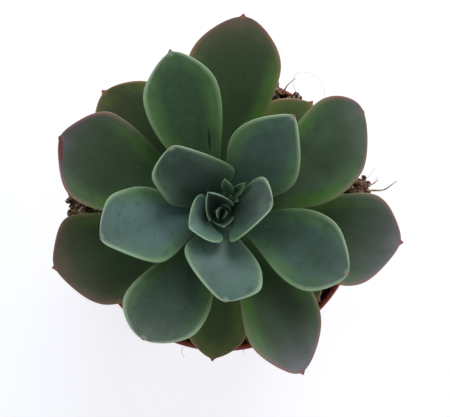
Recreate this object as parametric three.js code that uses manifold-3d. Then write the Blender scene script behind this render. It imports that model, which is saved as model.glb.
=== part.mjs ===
// A potted echeveria: a thin plastic nursery pot, its potting mix, a short stem, the leaves of one
// rosette in a golden-angle spiral, a small side shoot in the heart of it, and three loose fibres.
// Millimetres, +Z up. The origin is the centre of the pot's underside, and +Y is the side of the
// longest leaf.

import * as THREE from "three";
import { mergeVertices } from "three/addons/utils/BufferGeometryUtils.js";
import Module from "manifold-3d";

const wasm = await Module();
wasm.setup();

// Pot: a 10.5 cm round nursery pot, thermoformed from thin terracotta-coloured plastic.
const POT_HEIGHT = 92;
const RIM_RADIUS = 53;
const RIM_BAND = 10; // height of the upright band below the lip
const RIM_STEP = 2.2; // how far the band stands out from the tapered wall
const BAND_LEAN = 0.4; // how much narrower the band is at its foot
const BASE_RADIUS = 37;
const WALL = 1.2;
const BASE_CORNER = 2;
const POT_SIDES = 60;
const DRAIN_HOLES = 6;
const DRAIN_RADIUS = 4;
const DRAIN_CIRCLE = 24; // the holes' distance from the axis

const GAP = 0.3; // between any two pieces that touch

// Potting mix.
const SOIL_AT_STEM = 85;
const SOIL_AT_WALL = 87.5;
const SOIL_ROUGHNESS = 0.9;
const SOIL_SHOULDER = 6; // how far below its surface the mix still follows the pot's wall
const SOIL_SIDES = 40;
const SOIL_RINGS = 7;

// Stem.
const STEM_FOOT = 66; // the buried end
const STEM_RADIUS = 6.5;
const STEM_TOP = 115;
const STEM_TIP_RADIUS = 1.6;
const STEM_TAPER_FROM = 96; // the height where it starts to narrow towards the growing tip
const STEM_SIDES = 20;

// Rosette.
const GOLDEN_ANGLE = 137.5;
const FIRST_AZIMUTH = 37.5; // of the youngest leaf
const LEAVES_ON_TOP = 2; // the youngest two stand on the stem's end
const LEAF_STATIONS = 12; // rings of points along a leaf
const LEAF_TIP_CROWDING = 1.7; // over 1 brings the rings closer together towards the tip
// Where the points of a ring lie, in degrees round the section from one margin over the top.
const LEAF_RING = [0, 24, 54, 90, 126, 156, 180, 204, 234, 270, 306, 336];

// The leaves, youngest first: [name, turn, reach, width, rise, wide, { the rest }]. turn is how far
// a leaf stands off the golden-angle spiral, reach the distance of its tip from the axis, width its
// greatest width, rise the two slopes of its midrib, at the base and at the tip, and wide is how
// far along it is widest. Of the rest, cup is how hollow its upper side is, full how rounded its
// end is left and right of the tip, sweep how far the tip bends to the left, and skew how much
// further out the left shoulder stands than the right one.
const LEAVES = [
  ["bud_leaf_1", -60, 1.6, 4, [88, 75], 0.5],
  ["bud_leaf_2", -10, 2.2, 4.5, [88, 72], 0.5],
  ["bud_leaf_3", -34, 5.2, 8.3, [88, 55], 0.5, { cup: 0.6 }],
  ["bud_leaf_4", 34, 9.2, 11, [88, 40], 0.5, { cup: 1.4 }],
  ["inner_leaf_1", -24, 13.4, 19.2, [88, 20], 0.5, { cup: 0.4 }],
  ["inner_leaf_2", 0, 19.3, 23.4, [80, 20], 0.55, { cup: 0.25, sweep: 1, skew: 0.46, full: [4, 1.2] }],
  ["inner_leaf_3", -14.5, 31.2, 27, [52, 14], 0.42, { sweep: -1, skew: 0.2, full: [7, 1.5] }],
  ["inner_leaf_4", -8, 33, 28.5, [48, 12], 0.56, { sweep: -0.4, skew: 0.33, full: [4.2, 1.6] }],
  ["middle_leaf_1", -6.5, 45, 29.2, [38, 10], 0.56, { sweep: 2, full: [2, 1.7] }],
  ["middle_leaf_2", -11.3, 46, 28.6, [36, 8], 0.62, { sweep: 7, skew: -0.3, full: [1.3, 5.5] }],
  ["middle_leaf_3", 8.6, 52, 28.8, [32, 8], 0.67, { sweep: -6, skew: 0.06, full: [2.7, 2.3] }],
  ["middle_leaf_4", 3, 63, 28.5, [28, 8], 0.71, { sweep: -6, skew: 0.09, full: [2.6, 2] }],
  ["middle_leaf_5", -6, 56.2, 30.6, [26, 6], 0.72, { sweep: -3.6, skew: -0.07, full: [2.8, 2.6] }],
  ["outer_leaf_1", -6.5, 62.8, 33, [24, 6], 0.73, { sweep: 20, skew: -0.12, full: [2.4, 3.8] }],
  ["outer_leaf_2", -2.5, 67, 35.5, [22, 5], 0.74, { sweep: -6, skew: 0.03, full: [2.7, 2] }],
  ["outer_leaf_3", 4.7, 67.2, 30, [20, 4], 0.67, { sweep: -9.8, full: [2.7, 1.6] }],
  ["outer_leaf_4", 12, 75, 35.5, [19, 4], 0.7, { sweep: -8, full: [3, 1.9] }],
  ["outer_leaf_5", -9, 66, 38, [17, 3], 0.73, { sweep: -9.5, skew: -0.1, full: [3.3, 1.8] }],
  ["outer_leaf_6", -8, 68.2, 36, [16, 3], 0.73, { sweep: 7.5, full: [2.1, 2.7] }],
  ["low_leaf_1", 4.5, 64.5, 33, [14, 4], 0.7, { full: [2.3, 3] }],
  ["low_leaf_2", 0.6, 55.6, 24.5, [13, 4], 0.7, { sweep: -2, full: [3.6, 2] }],
  ["low_leaf_3", 6, 54, 26, [12, 4], 0.7, { full: [2.6, 2.6] }],
  ["low_leaf_4", 0, 41, 22, [12, 4], 0.7],
  ["low_leaf_5", -2, 49.5, 26, [12, 4], 0.7],
];

// A side shoot in the axil of middle_leaf_1: a short stalk with three small folded leaves. Their
// azimuths are their own, and their reach is from the shoot's axis.
const SHOOT = { azimuth: 62, distance: 6.8, foot: 113, top: 115.2, radius: 0.9 };
const SHOOT_LEAVES = [
  { name: "side_shoot_leaf_1", azimuth: 108, reach: 7, width: 3.5, rise: [80, 35], roll: -30 },
  { name: "side_shoot_leaf_2", azimuth: 44, reach: 7.5, width: 3, rise: [75, 40], cup: 0.9 },
  { name: "side_shoot_leaf_3", azimuth: -30, reach: 3.2, width: 2.4, rise: [85, 50], cup: 0.4 },
];

// Banks of coarse crumbs heaped against the wall: the azimuths of their rows, and how many crumbs
// of CRUMBS each row has, from the heap's foot outwards over the rim.
const CRUMB_BANKS = [
  { rows: [171, 175, 179], length: 5 },
  { rows: [8, 12], length: 4 },
  { rows: [57, 67], length: 3 },
];
const CRUMBS = [
  { distance: 44.5, height: 88.5, radius: 3.4 },
  { distance: 47.8, height: 91.3, radius: 3.2 },
  { distance: 51.2, height: 94, radius: 2.6 },
  { distance: 54.4, height: 94.4, radius: 2.3 },
  { distance: 57, height: 94, radius: 1.8 },
];

// Loose fibres of the mix that stick out past the leaves, as points along each.
const FIBRE_RADIUS = 0.45;
const FIBRES = [
  { name: "fibre_1", points: [[56.5, 9, 95.5], [59, 8.4, 96.5], [62, 9, 97], [67, 12.5, 98.5]] },
  { name: "fibre_2", points: [[23.4, 45.1, 92], [24.3, 47.9, 94.5], [26, 50, 95.5], [28.5, 51.4, 96]] },
  { name: "fibre_3", points: [[55.5, 10.5, 96], [57.5, 11.2, 97.5], [59.5, 12.6, 98.5]] },
];

const radians = THREE.MathUtils.degToRad;

// ---------------------------------------------------------------- joining and cutting

function solidFrom(geometry) {
  const bare = new THREE.BufferGeometry();
  bare.setAttribute("position", geometry.getAttribute("position"));
  bare.setIndex(geometry.getIndex());
  const merged = mergeVertices(bare, 1e-3);
  return new wasm.Manifold(
    new wasm.Mesh({
      numProp: 3,
      vertProperties: merged.getAttribute("position").array,
      triVerts: new Uint32Array(merged.getIndex().array),
    }),
  );
}

function geometryFrom(solid) {
  const mesh = solid.getMesh();
  const geometry = new THREE.BufferGeometry();
  geometry.setAttribute("position", new THREE.BufferAttribute(mesh.vertProperties, 3));
  geometry.setIndex(new THREE.BufferAttribute(mesh.triVerts, 1));
  geometry.computeVertexNormals();
  return geometry;
}

// A profile of [radius, height] pairs turned about the Z axis.
function turned(profile, sides) {
  const points = profile.map(([radius, height]) => new THREE.Vector2(radius, height));
  return new THREE.LatheGeometry(points, sides).rotateX(Math.PI / 2);
}

// ---------------------------------------------------------------- pot

const BAND_FOOT = POT_HEIGHT - RIM_BAND;

// The tapered wall, outside and inside.
function wallRadius(height) {
  const share = (height - BASE_CORNER) / (BAND_FOOT - BASE_CORNER);
  return THREE.MathUtils.lerp(BASE_RADIUS, RIM_RADIUS - RIM_STEP, share);
}

function innerRadius(height) {
  return wallRadius(height - WALL) - WALL;
}

function potGeometry() {
  const lip = WALL / 2;
  const shell = turned(
    [
      [0, 0],
      [BASE_RADIUS - BASE_CORNER, 0],
      [BASE_RADIUS, BASE_CORNER],
      [wallRadius(BAND_FOOT), BAND_FOOT],
      [RIM_RADIUS - BAND_LEAN, BAND_FOOT + WALL],
      [RIM_RADIUS, POT_HEIGHT - lip],
      [RIM_RADIUS - lip, POT_HEIGHT],
      [RIM_RADIUS - WALL, POT_HEIGHT - lip],
      [RIM_RADIUS - WALL - BAND_LEAN, BAND_FOOT + 2 * WALL],
      [innerRadius(BAND_FOOT + WALL), BAND_FOOT + WALL],
      [innerRadius(BASE_CORNER + WALL), BASE_CORNER + WALL],
      [BASE_RADIUS - BASE_CORNER - WALL, WALL],
      [0, WALL],
    ],
    POT_SIDES,
  );
  let pot = solidFrom(shell);
  for (let i = 0; i < DRAIN_HOLES; i++) {
    const angle = (i * 2 * Math.PI) / DRAIN_HOLES;
    const drill = new THREE.CylinderGeometry(DRAIN_RADIUS, DRAIN_RADIUS, 4 * WALL, 16)
      .rotateX(Math.PI / 2)
      .translate(DRAIN_CIRCLE * Math.cos(angle), DRAIN_CIRCLE * Math.sin(angle), WALL / 2);
    pot = pot.subtract(solidFrom(drill));
  }
  return geometryFrom(pot);
}

// ---------------------------------------------------------------- stem

function stemRadius(height) {
  const taper = THREE.MathUtils.smoothstep(height, STEM_TAPER_FROM, STEM_TOP);
  return THREE.MathUtils.lerp(STEM_RADIUS, STEM_TIP_RADIUS, taper);
}

function stemGeometry() {
  const profile = [[0, STEM_FOOT], [3.5, STEM_FOOT + 2], [5.2, STEM_FOOT + 8]];
  for (let height = 78; height < STEM_TOP; height += 4) {
    profile.push([stemRadius(height), height]);
  }
  profile.push([stemRadius(STEM_TOP), STEM_TOP], [0, STEM_TOP + 1.2]);
  return turned(profile, STEM_SIDES);
}

// ---------------------------------------------------------------- leaves

// The midrib of a leaf: its slope changes evenly from base to tip.
function midrib(leaf) {
  const [slopeBase, slopeTip] = leaf.rise.map(radians);
  const bend = slopeTip - slopeBase;
  const forward = (Math.sin(slopeTip) - Math.sin(slopeBase)) / bend;
  const length = (leaf.reach - leaf.root) / forward;
  return (t) => {
    const slope = slopeBase + bend * t;
    return {
      slope,
      x: leaf.root + (length * (Math.sin(slope) - Math.sin(slopeBase))) / bend,
      z: leaf.height - (length * (Math.cos(slope) - Math.cos(slopeBase))) / bend,
    };
  };
}

// Half-width along one side of the leaf, as a share of the greatest: a narrow neck, a broad
// shoulder, then the fuller the end the later it falls to the point.
function outline(t, leaf, full) {
  if (t < leaf.wide) {
    const swell = Math.sin((t / leaf.wide) * (Math.PI / 2)) ** 2;
    return leaf.neck + (1 - leaf.neck) * swell;
  }
  const s = (t - leaf.wide) / (1 - leaf.wide);
  return 1 - s ** full;
}

function leafGeometry(leaf) {
  const rib = midrib(leaf);
  const positions = [];
  const addPoint = (t, across, up) => {
    const { x, z, slope } = rib(t);
    const out = leaf.skew * across * Math.sin(Math.PI * t) ** 0.6;
    positions.push(
      x + out - up * Math.sin(slope),
      leaf.sweep * t * t + across,
      z + up * Math.cos(slope),
    );
  };

  const start = leaf.thickness * 0.6;
  for (let i = 0; i < LEAF_STATIONS; i++) {
    const t = 1 - (1 - i / LEAF_STATIONS) ** LEAF_TIP_CROWDING;
    const halves = leaf.full.map((full) => (leaf.width / 2) * outline(t, leaf, full));
    const half = (halves[0] + halves[1]) / 2;
    const body = THREE.MathUtils.lerp(start, leaf.thickness, Math.sin(Math.PI * t) ** 0.8);
    const thick = Math.min(body * (1 - 0.55 * t ** 3), 1.3 * half);
    const rim = Math.min(thick / 2, leaf.margin / 2);
    const hollow = leaf.cup * Math.min(1, 3 * t) * half;
    for (const degrees of LEAF_RING) {
      const cosine = Math.cos(radians(degrees));
      const sine = Math.sin(radians(degrees));
      const side = cosine > 0 ? halves[0] : -halves[1];
      const across = side * Math.abs(cosine) ** 0.9;
      const share = Math.abs(cosine) ** 1.8;
      const edge = rim * Math.sign(sine) * Math.abs(sine) ** 0.8;
      const belly = sine < 0 ? (thick - 2 * rim) * (1 - share) : 0;
      const tilt = Math.tan(radians(leaf.roll)) * across;
      addPoint(t, across, hollow * (share - 0.35) + edge - belly + tilt);
    }
  }
  const ring = LEAF_RING.length;
  const baseCentre = positions.length / 3;
  addPoint(0, 0, -start * 0.2);
  const tip = baseCentre + 1;
  addPoint(1, 0, 0);

  const index = [];
  for (let k = 0; k < ring; k++) {
    const next = (k + 1) % ring;
    index.push(baseCentre, next, k);
    for (let i = 0; i + 1 < LEAF_STATIONS; i++) {
      const a = i * ring;
      const b = a + ring;
      index.push(a + k, a + next, b + next, a + k, b + next, b + k);
    }
    const last = (LEAF_STATIONS - 1) * ring;
    index.push(last + k, last + next, tip);
  }
  const geometry = new THREE.BufferGeometry();
  geometry.setAttribute("position", new THREE.Float32BufferAttribute(positions, 3));
  geometry.setIndex(index);
  geometry.computeVertexNormals();
  return geometry;
}

// Heights of the leaves' roots: close together at the growing tip, further apart below it.
function rootHeight(age) {
  return STEM_TOP + 1.5 - 0.7 * age - 0.015 * age * age;
}

function fullLeaf(row, age) {
  const onTop = age < LEAVES_ON_TOP;
  const height = onTop ? STEM_TOP + 2 : rootHeight(age);
  const thickness = onTop ? 1 : 1.2 + 0.115 * row.width;
  const lean = (thickness / 2) * Math.sin(radians(row.rise[0]));
  return {
    height,
    thickness,
    root: onTop ? 0.75 : stemRadius(height) + GAP + lean,
    margin: Math.min(1.7, thickness * 0.6),
    neck: (2.5 + 0.16 * row.width) / row.width,
    azimuth: FIRST_AZIMUTH + GOLDEN_ANGLE * age + row.turn,
    full: [2.3, 2.3],
    cup: 0.16,
    sweep: 0,
    skew: 0,
    roll: 0,
    ...row,
  };
}

// ---------------------------------------------------------------- potting mix

// Height of the mix's uneven top, from a few waves of different lengths.
function soilTop(x, y) {
  const radius = Math.hypot(x, y);
  const level = THREE.MathUtils.lerp(SOIL_AT_STEM, SOIL_AT_WALL, radius / RIM_RADIUS);
  const waves =
    Math.sin(0.41 * x + 1.3) * Math.cos(0.37 * y) + 0.6 * Math.sin(0.93 * y + 0.7 * x);
  return level + SOIL_ROUGHNESS * waves;
}

function soilGeometry() {
  const inside = (height) => innerRadius(height) - GAP;
  const lowest = WALL + GAP;
  const shoulder = SOIL_AT_WALL - SOIL_SHOULDER;
  const surface = inside(shoulder) + 1;
  const rings = Array.from({ length: SOIL_RINGS }, (_, i) => surface * (1 - i / SOIL_RINGS));
  const body = turned(
    [
      [0, lowest],
      [BASE_RADIUS - BASE_CORNER - WALL - GAP, lowest],
      [inside(BASE_CORNER + 2 * WALL), BASE_CORNER + 2 * WALL],
      [inside(shoulder), shoulder],
      ...rings.map((radius) => [radius, SOIL_AT_WALL]),
      [0, SOIL_AT_WALL],
    ],
    SOIL_SIDES,
  );
  const position = body.getAttribute("position");
  for (let i = 0; i < position.count; i++) {
    if (position.getZ(i) > SOIL_AT_WALL - 1) {
      position.setZ(i, soilTop(position.getX(i), position.getY(i)));
    }
  }
  return body;
}

// One crumb: a lump with its corners moved by a fixed rule, so that no two look alike.
function crumb({ distance, height, radius }, azimuth, serial) {
  const lump = new THREE.IcosahedronGeometry(radius, 0);
  const position = lump.getAttribute("position");
  for (let i = 0; i < position.count; i++) {
    const [x, y, z] = [position.getX(i), position.getY(i), position.getZ(i)];
    const grow = 1 + 0.14 * Math.sin(1.9 * x + serial) * Math.cos(2.3 * y + 1.7 * z);
    position.setXYZ(i, x * grow, y * grow, z * grow);
  }
  return lump
    .rotateX(serial)
    .translate(distance, 0, height + 0.5 * Math.sin(3 * serial))
    .rotateZ(radians(azimuth));
}

// The mix, with its heaped crumbs joined on, cut clear of the rim and of the stem.
function mixGeometry() {
  let mix = solidFrom(soilGeometry());
  let serial = 0;
  for (const bank of CRUMB_BANKS) {
    for (const azimuth of bank.rows) {
      for (const size of CRUMBS.slice(0, bank.length)) {
        mix = mix.add(solidFrom(crumb(size, azimuth, serial++)));
      }
    }
  }
  const clear = RIM_RADIUS - WALL - BAND_LEAN - GAP;
  const rim = turned(
    [
      [clear, BAND_FOOT],
      [RIM_RADIUS + GAP, BAND_FOOT],
      [RIM_RADIUS + GAP, POT_HEIGHT + GAP],
      [clear, POT_HEIGHT + GAP],
      [clear, BAND_FOOT],
    ],
    POT_SIDES,
  );
  const well = turned(
    [
      [0, STEM_FOOT - GAP],
      [STEM_RADIUS + GAP, STEM_FOOT],
      [STEM_RADIUS + GAP, POT_HEIGHT],
      [0, POT_HEIGHT],
    ],
    STEM_SIDES,
  );
  return geometryFrom(mix.subtract(solidFrom(rim)).subtract(solidFrom(well)));
}

// ---------------------------------------------------------------- fibres

function fibreGeometry(points) {
  const path = new THREE.CatmullRomCurve3(points.map((point) => new THREE.Vector3(...point)));
  const section = new THREE.Shape();
  section.absarc(0, 0, FIBRE_RADIUS, 0, 2 * Math.PI, false);
  return new THREE.ExtrudeGeometry(section, {
    extrudePath: path,
    steps: 8,
    curveSegments: 4,
    bevelEnabled: false,
  });
}

// ---------------------------------------------------------------- side shoot

function shootStalkGeometry() {
  const foot = new THREE.Vector3(SHOOT.distance - 1, 0, SHOOT.foot);
  const top = new THREE.Vector3(SHOOT.distance, 0, SHOOT.top);
  const section = new THREE.Shape();
  section.absarc(0, 0, SHOOT.radius, 0, 2 * Math.PI, false);
  return new THREE.ExtrudeGeometry(section, {
    extrudePath: new THREE.LineCurve3(foot, top),
    steps: 2,
    curveSegments: 6,
    bevelEnabled: false,
  });
}

// ---------------------------------------------------------------- the whole plant

const FINISHES = {
  pot: { color: 0x6e3a30, roughness: 0.5 },
  soil: { color: 0x3b2a22, roughness: 1 },
  stem: { color: 0x6b6a48, roughness: 0.8 },
  young: { color: 0x4a6156, roughness: 0.6 },
  old: { color: 0x35452f, roughness: 0.55 },
};

const plant = new THREE.Group();

function add(name, geometry, finish) {
  const material = new THREE.MeshStandardMaterial({ metalness: 0, ...FINISHES[finish] });
  const mesh = new THREE.Mesh(geometry, material);
  mesh.name = name;
  plant.add(mesh);
  return mesh;
}

add("pot", potGeometry(), "pot");
add("stem", stemGeometry(), "stem");
add("soil", mixGeometry(), "soil");

LEAVES.forEach(([name, turn, reach, width, rise, wide, rest], age) => {
  const leaf = fullLeaf({ name, turn, reach, width, rise, wide, ...rest }, age);
  const mesh = add(leaf.name, leafGeometry(leaf), age < 12 ? "young" : "old");
  mesh.rotation.z = radians(leaf.azimuth);
});

add("side_shoot_stalk", shootStalkGeometry(), "young").rotation.z = radians(SHOOT.azimuth);
const shootAxis = new THREE.Vector3(SHOOT.distance, 0, 0);
shootAxis.applyAxisAngle(new THREE.Vector3(0, 0, 1), radians(SHOOT.azimuth));
for (const row of SHOOT_LEAVES) {
  const leaf = fullLeaf({ wide: 0.5, neck: 0.28, ...row }, 0);
  leaf.height = SHOOT.top + GAP;
  leaf.root = SHOOT.radius + GAP;
  const mesh = add(row.name, leafGeometry(leaf), "young");
  mesh.rotation.z = radians(row.azimuth);
  mesh.position.copy(shootAxis);
}

for (const fibre of FIBRES) {
  add(fibre.name, fibreGeometry(fibre.points), "stem");
}

export default plant;
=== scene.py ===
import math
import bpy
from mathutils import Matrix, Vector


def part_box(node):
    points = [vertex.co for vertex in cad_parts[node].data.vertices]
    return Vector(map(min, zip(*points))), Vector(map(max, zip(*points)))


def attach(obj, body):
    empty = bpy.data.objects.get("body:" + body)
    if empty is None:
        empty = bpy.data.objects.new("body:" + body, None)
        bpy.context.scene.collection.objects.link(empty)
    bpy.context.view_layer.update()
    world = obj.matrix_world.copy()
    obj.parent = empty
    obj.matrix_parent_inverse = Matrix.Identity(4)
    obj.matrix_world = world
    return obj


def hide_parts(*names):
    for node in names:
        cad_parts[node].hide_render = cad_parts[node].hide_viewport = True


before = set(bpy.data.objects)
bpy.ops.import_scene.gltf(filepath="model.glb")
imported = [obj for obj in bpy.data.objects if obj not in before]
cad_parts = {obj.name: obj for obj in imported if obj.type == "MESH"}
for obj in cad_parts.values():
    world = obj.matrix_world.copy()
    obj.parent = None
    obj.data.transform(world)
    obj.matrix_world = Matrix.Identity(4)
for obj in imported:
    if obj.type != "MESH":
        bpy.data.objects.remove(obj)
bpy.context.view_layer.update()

# The looks of a potted echeveria: waxy leaves with a powdery bloom, a thermoformed nursery pot, peat
# with perlite and bark, a scarred stem, and the loose fibres and hairs of the mix. Metres, +Z up.

from types import SimpleNamespace

import bmesh
import bpy
import numpy as np
from mathutils import Matrix, Vector, noise

MM = 0.001
FULL_TURN = 2 * math.pi


# ------------------------------------------------------------------ colours, nodes, meshes


def linear(hex_colour):
    """An sRGB hex colour as linear red, green, blue and alpha."""
    channels = [int(hex_colour[i:i + 2], 16) / 255 for i in (1, 3, 5)]
    return tuple(c / 12.92 if c <= 0.04045 else ((c + 0.055) / 1.055) ** 2.4 for c in channels) + (1,)


def put(tree, kind, inputs=None, **settings):
    """Adds a shader node with its settings. inputs gives each input a value, an sRGB hex colour,
    another node's socket, or another node, whose first output in use is taken."""
    made = tree.nodes.new("ShaderNode" + kind)
    for name, value in settings.items():
        setattr(made, name, value)
    for name, value in (inputs or {}).items():
        if isinstance(value, bpy.types.Node):
            value = next(output for output in value.outputs if output.enabled)
        if isinstance(value, bpy.types.NodeSocket):
            tree.links.new(value, made.inputs[name])
        else:
            made.inputs[name].default_value = linear(value) if isinstance(value, str) else value
    return made


def blank_material(name):
    """A material with an empty node tree and its tree."""
    material = bpy.data.materials.new(name)
    material.use_nodes = True
    material.node_tree.nodes.clear()
    return material, material.node_tree


def finish_material(tree, colour, roughness, normal, **constants):
    """The shader and the output. constants go on the shader's own sockets."""
    inputs = {"Base Color": colour, "Roughness": roughness, "Normal": normal}
    inputs.update({name.replace("_", " "): value for name, value in constants.items()})
    shader = put(tree, "BsdfPrincipled", inputs)
    put(tree, "OutputMaterial", {"Surface": shader})


def layer(tree, under, colour, value, span, strength=(0.0, 1.0), weight=1.0):
    """A coat of colour over what is under it. As value goes from one end of span to the other, the
    coat goes from one strength to the other, and weight thins all of it."""
    shows = put(tree, "MapRange", {"Value": value, "From Min": span[0], "From Max": span[1],
                                   "To Min": strength[0], "To Max": strength[1]},
                interpolation_type="SMOOTHSTEP")
    shows = put(tree, "Math", {0: shows, 1: weight}, operation="MULTIPLY")
    return put(tree, "Mix", {0: shows, 6: under, 7: colour}, data_type="RGBA")


def per(size):
    """How many lumps of a pattern fit in a metre, from the size of one in millimetres."""
    return 1 / (size * MM)


def mesh_object(name, points, faces, smooth_angle=180):
    """A mesh object from points in metres. Edges sharper than smooth_angle, in degrees, stay sharp."""
    mesh = bpy.data.meshes.new(name)
    mesh.from_pydata([tuple(p) for p in points], [], faces)
    mesh.validate()
    mesh.update()
    mesh.shade_smooth()
    if smooth_angle < 180:
        mesh.set_sharp_from_angle(angle=math.radians(smooth_angle))
    made = bpy.data.objects.new(name, mesh)
    bpy.context.scene.collection.objects.link(made)
    return made


def tube_faces(rows, count, poles=False):
    """The faces of a skin of rings of count points each, and with poles the faces that close it at
    two more points, which come after the rings: the pole at its start and the one at its end."""
    faces = []
    for i in range(rows - 1):
        for k in range(count):
            n = (k + 1) % count
            faces.append((i * count + k, i * count + n, (i + 1) * count + n, (i + 1) * count + k))
    if poles:
        last = (rows - 1) * count
        for k in range(count):
            n = (k + 1) % count
            faces.append((rows * count, n, k))
            faces.append((last + k, last + n, rows * count + 1))
    return faces


def piece(made, material, slot, *nodes):
    """Puts a piece on the plant, hung from the root: its material, and the solids that it stands for,
    which are hidden. slot is not used.
    """
    made.data.materials.clear()
    made.data.materials.append(material)
    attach(made, "root")
    if nodes:
        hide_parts(*nodes)


def spread(mesh, name, values, kind="FLOAT"):
    """Stores one value a point on a mesh, for its material to read."""
    attribute = mesh.attributes.new(name, kind, "POINT")
    key = "vector" if kind == "FLOAT_VECTOR" else "value"
    attribute.data.foreach_set(key, np.asarray(values, np.float32).ravel())


def points_of(node):
    """The points of a solid, in metres."""
    return np.array([v.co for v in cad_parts[node].data.vertices], float)


def smoothstep(low, high, x):
    """0 at low, 1 at high and smooth between them."""
    t = np.clip((np.asarray(x, float) - low) / (high - low), 0, 1)
    return t * t * (3 - 2 * t)


def wavy(point, size, seed=0.0):
    """Smooth noise, about -1 to 1, whose lumps are size metres across."""
    return noise.noise(Vector(point) / size + Vector((seed, 1.7 * seed, -seed)))


# ------------------------------------------------------------------ camera, light, floor

CAMERA_HEIGHT = 1.0
CAMERA_OFFSET = (1.15 * MM, 1.72 * MM)
LENS_MM = 189.6
SENSOR_MM = 36

scene = bpy.context.scene
scene.view_settings.view_transform = "Standard"
scene.view_settings.look = "None"

camera_data = bpy.data.cameras.new("camera")
camera_data.lens = LENS_MM
camera_data.sensor_width = SENSOR_MM
camera = bpy.data.objects.new("camera", camera_data)
camera.location = (*CAMERA_OFFSET, CAMERA_HEIGHT)
scene.collection.objects.link(camera)
scene.camera = camera

WALL_LIGHT = 1.0
CEILING_LIGHT = 0.16
WALL_TOP = 0.05  # how high up the walls start to get darker: 0 is the horizon, 1 is overhead
CEILING_FROM = 0.75  # how high up they are darkest
PLANT_MIDDLE = Vector((0, 0, 0.11))


def studio_walls():
    """White walls all round that get darker towards the ceiling, so that every rounded margin
    catches light and the hollow middles of the leaves stay deeper."""
    world = bpy.data.worlds.new("studio")
    world.use_nodes = True
    tree = world.node_tree
    tree.nodes.clear()
    direction = put(tree, "TexCoord").outputs["Generated"]
    height = put(tree, "SeparateXYZ", {"Vector": direction}).outputs["Z"]
    strength = put(tree, "MapRange", {"Value": height, "From Min": WALL_TOP, "From Max": CEILING_FROM,
                                      "To Min": WALL_LIGHT, "To Max": CEILING_LIGHT},
                   interpolation_type="SMOOTHSTEP")
    shade = put(tree, "Background", {"Color": "#f4f8fc", "Strength": strength})
    put(tree, "OutputWorld", {"Surface": shade})
    scene.world = world


studio_walls()


def softbox(name, location, size, power, colour):
    """A square studio light aimed at the plant."""
    data = bpy.data.lights.new(name, "AREA")
    data.size = size
    data.energy = power
    data.color = linear(colour)[:3]
    light = bpy.data.objects.new(name, data)
    light.location = location
    aim = PLANT_MIDDLE - Vector(location)
    light.rotation_euler = aim.to_track_quat("-Z", "Y").to_euler()
    scene.collection.objects.link(light)


softbox("softbox_back", (0.25, 0.85, 0.6), 0.6, 6.4, "#f3f8ff")
softbox("softbox_left", (-0.8, 0.25, 0.5), 0.5, 2.3, "#f3f8ff")
softbox("softbox_right", (0.85, 0.15, 0.45), 0.5, 2.8, "#fffaf3")


def paper_floor():
    """Seamless white paper, lit from below so that no shadow shows on it."""
    paper, tree = blank_material("white_paper")
    shader = put(tree, "BsdfPrincipled", {
        "Base Color": "#c9cbd0",
        "Roughness": 0.9,
        "Emission Color": "#fafbff",
        "Emission Strength": 0.63,
    })
    put(tree, "OutputMaterial", {"Surface": shader})
    half = 4.0  # metres
    corners = [(-half, -half, 0), (half, -half, 0), (half, half, 0), (-half, half, 0)]
    floor = mesh_object("floor", corners, [(0, 1, 2, 3)])
    floor.data.materials.append(paper)


paper_floor()


# ------------------------------------------------------------------ leaves

RING = 12  # points round a leaf's solid
AROUND = 4  # fine steps between two of them
ALONG = 5  # fine steps between two rings
SAME_POINT = 0.004 * MM  # corners of faces closer than this are one point
WEAR_PASSES = 2.2  # smoothing passes on a leaf's end, times its reach in millimetres squared
WEAR_STEP = 0.5  # how far a pass moves a point, as a share of the way to its neighbours' middle
WEAR_FADE = 1.4  # the wearing fades out over so many reaches
FILL_OUT = 0.9  # how much of what the wearing shortens is put back
FULL_LENGTH = 40 * MM  # a shorter leaf has a smaller beak and lies more even
FULL_WIDTH = 24 * MM  # a narrower leaf has a narrower margin
BEAK_LENGTH = 1.3 * MM
BEAK_RADIUS = 0.75 * MM
SHORTEST_BEAK = 0.35  # of a small leaf, as a share of the full length
THINNEST_BEAK = 0.45  # and of the full radius
BEAK_TINT = 0.8 * MM  # its colour fades out into the leaf over this
TIP_MARGIN = 0.2 * MM  # how far in from the margin the tip counts as being

# how wide and how high the waves of the margins, the dimples and the folds are
WAVE_SIZE, WAVE_HEIGHT = 13 * MM, 0.55 * MM
DIMPLE_SIZE, DIMPLE_HEIGHT = 7 * MM, 0.13 * MM
FOLD_SIZE, FOLD_HEIGHT = 8 * MM, 0.38 * MM
FOLD_STRETCH = 4  # a fold is this many times as long as it is wide
CALM_END = 6 * MM  # all of them fade out over this at the tip

EVEN_FLUSH = 0.7  # how strong the margins' flush is on a leaf that has no sunny side
SUNNY_SPAN = 40 * MM  # the flush of the margins goes from none to full over this
# the pale rim is partly the margin's own pale or pink colour and partly a painted highlight of the
# rounded margin catching the light
RIM_AND_HIGHLIGHT_AT_BASE = 0.25  # how much of the pale rim a leaf has at its base
DEEP_INSIDE = 5  # the edge value of the middle of its base, in millimetres
WOUND_EDGE = (1.5, 1.0)  # where an old wound starts and where it is full, in half sizes of it
WOUND_DEPTH = 1.5  # in the heights that the cuticle's bump uses


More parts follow.
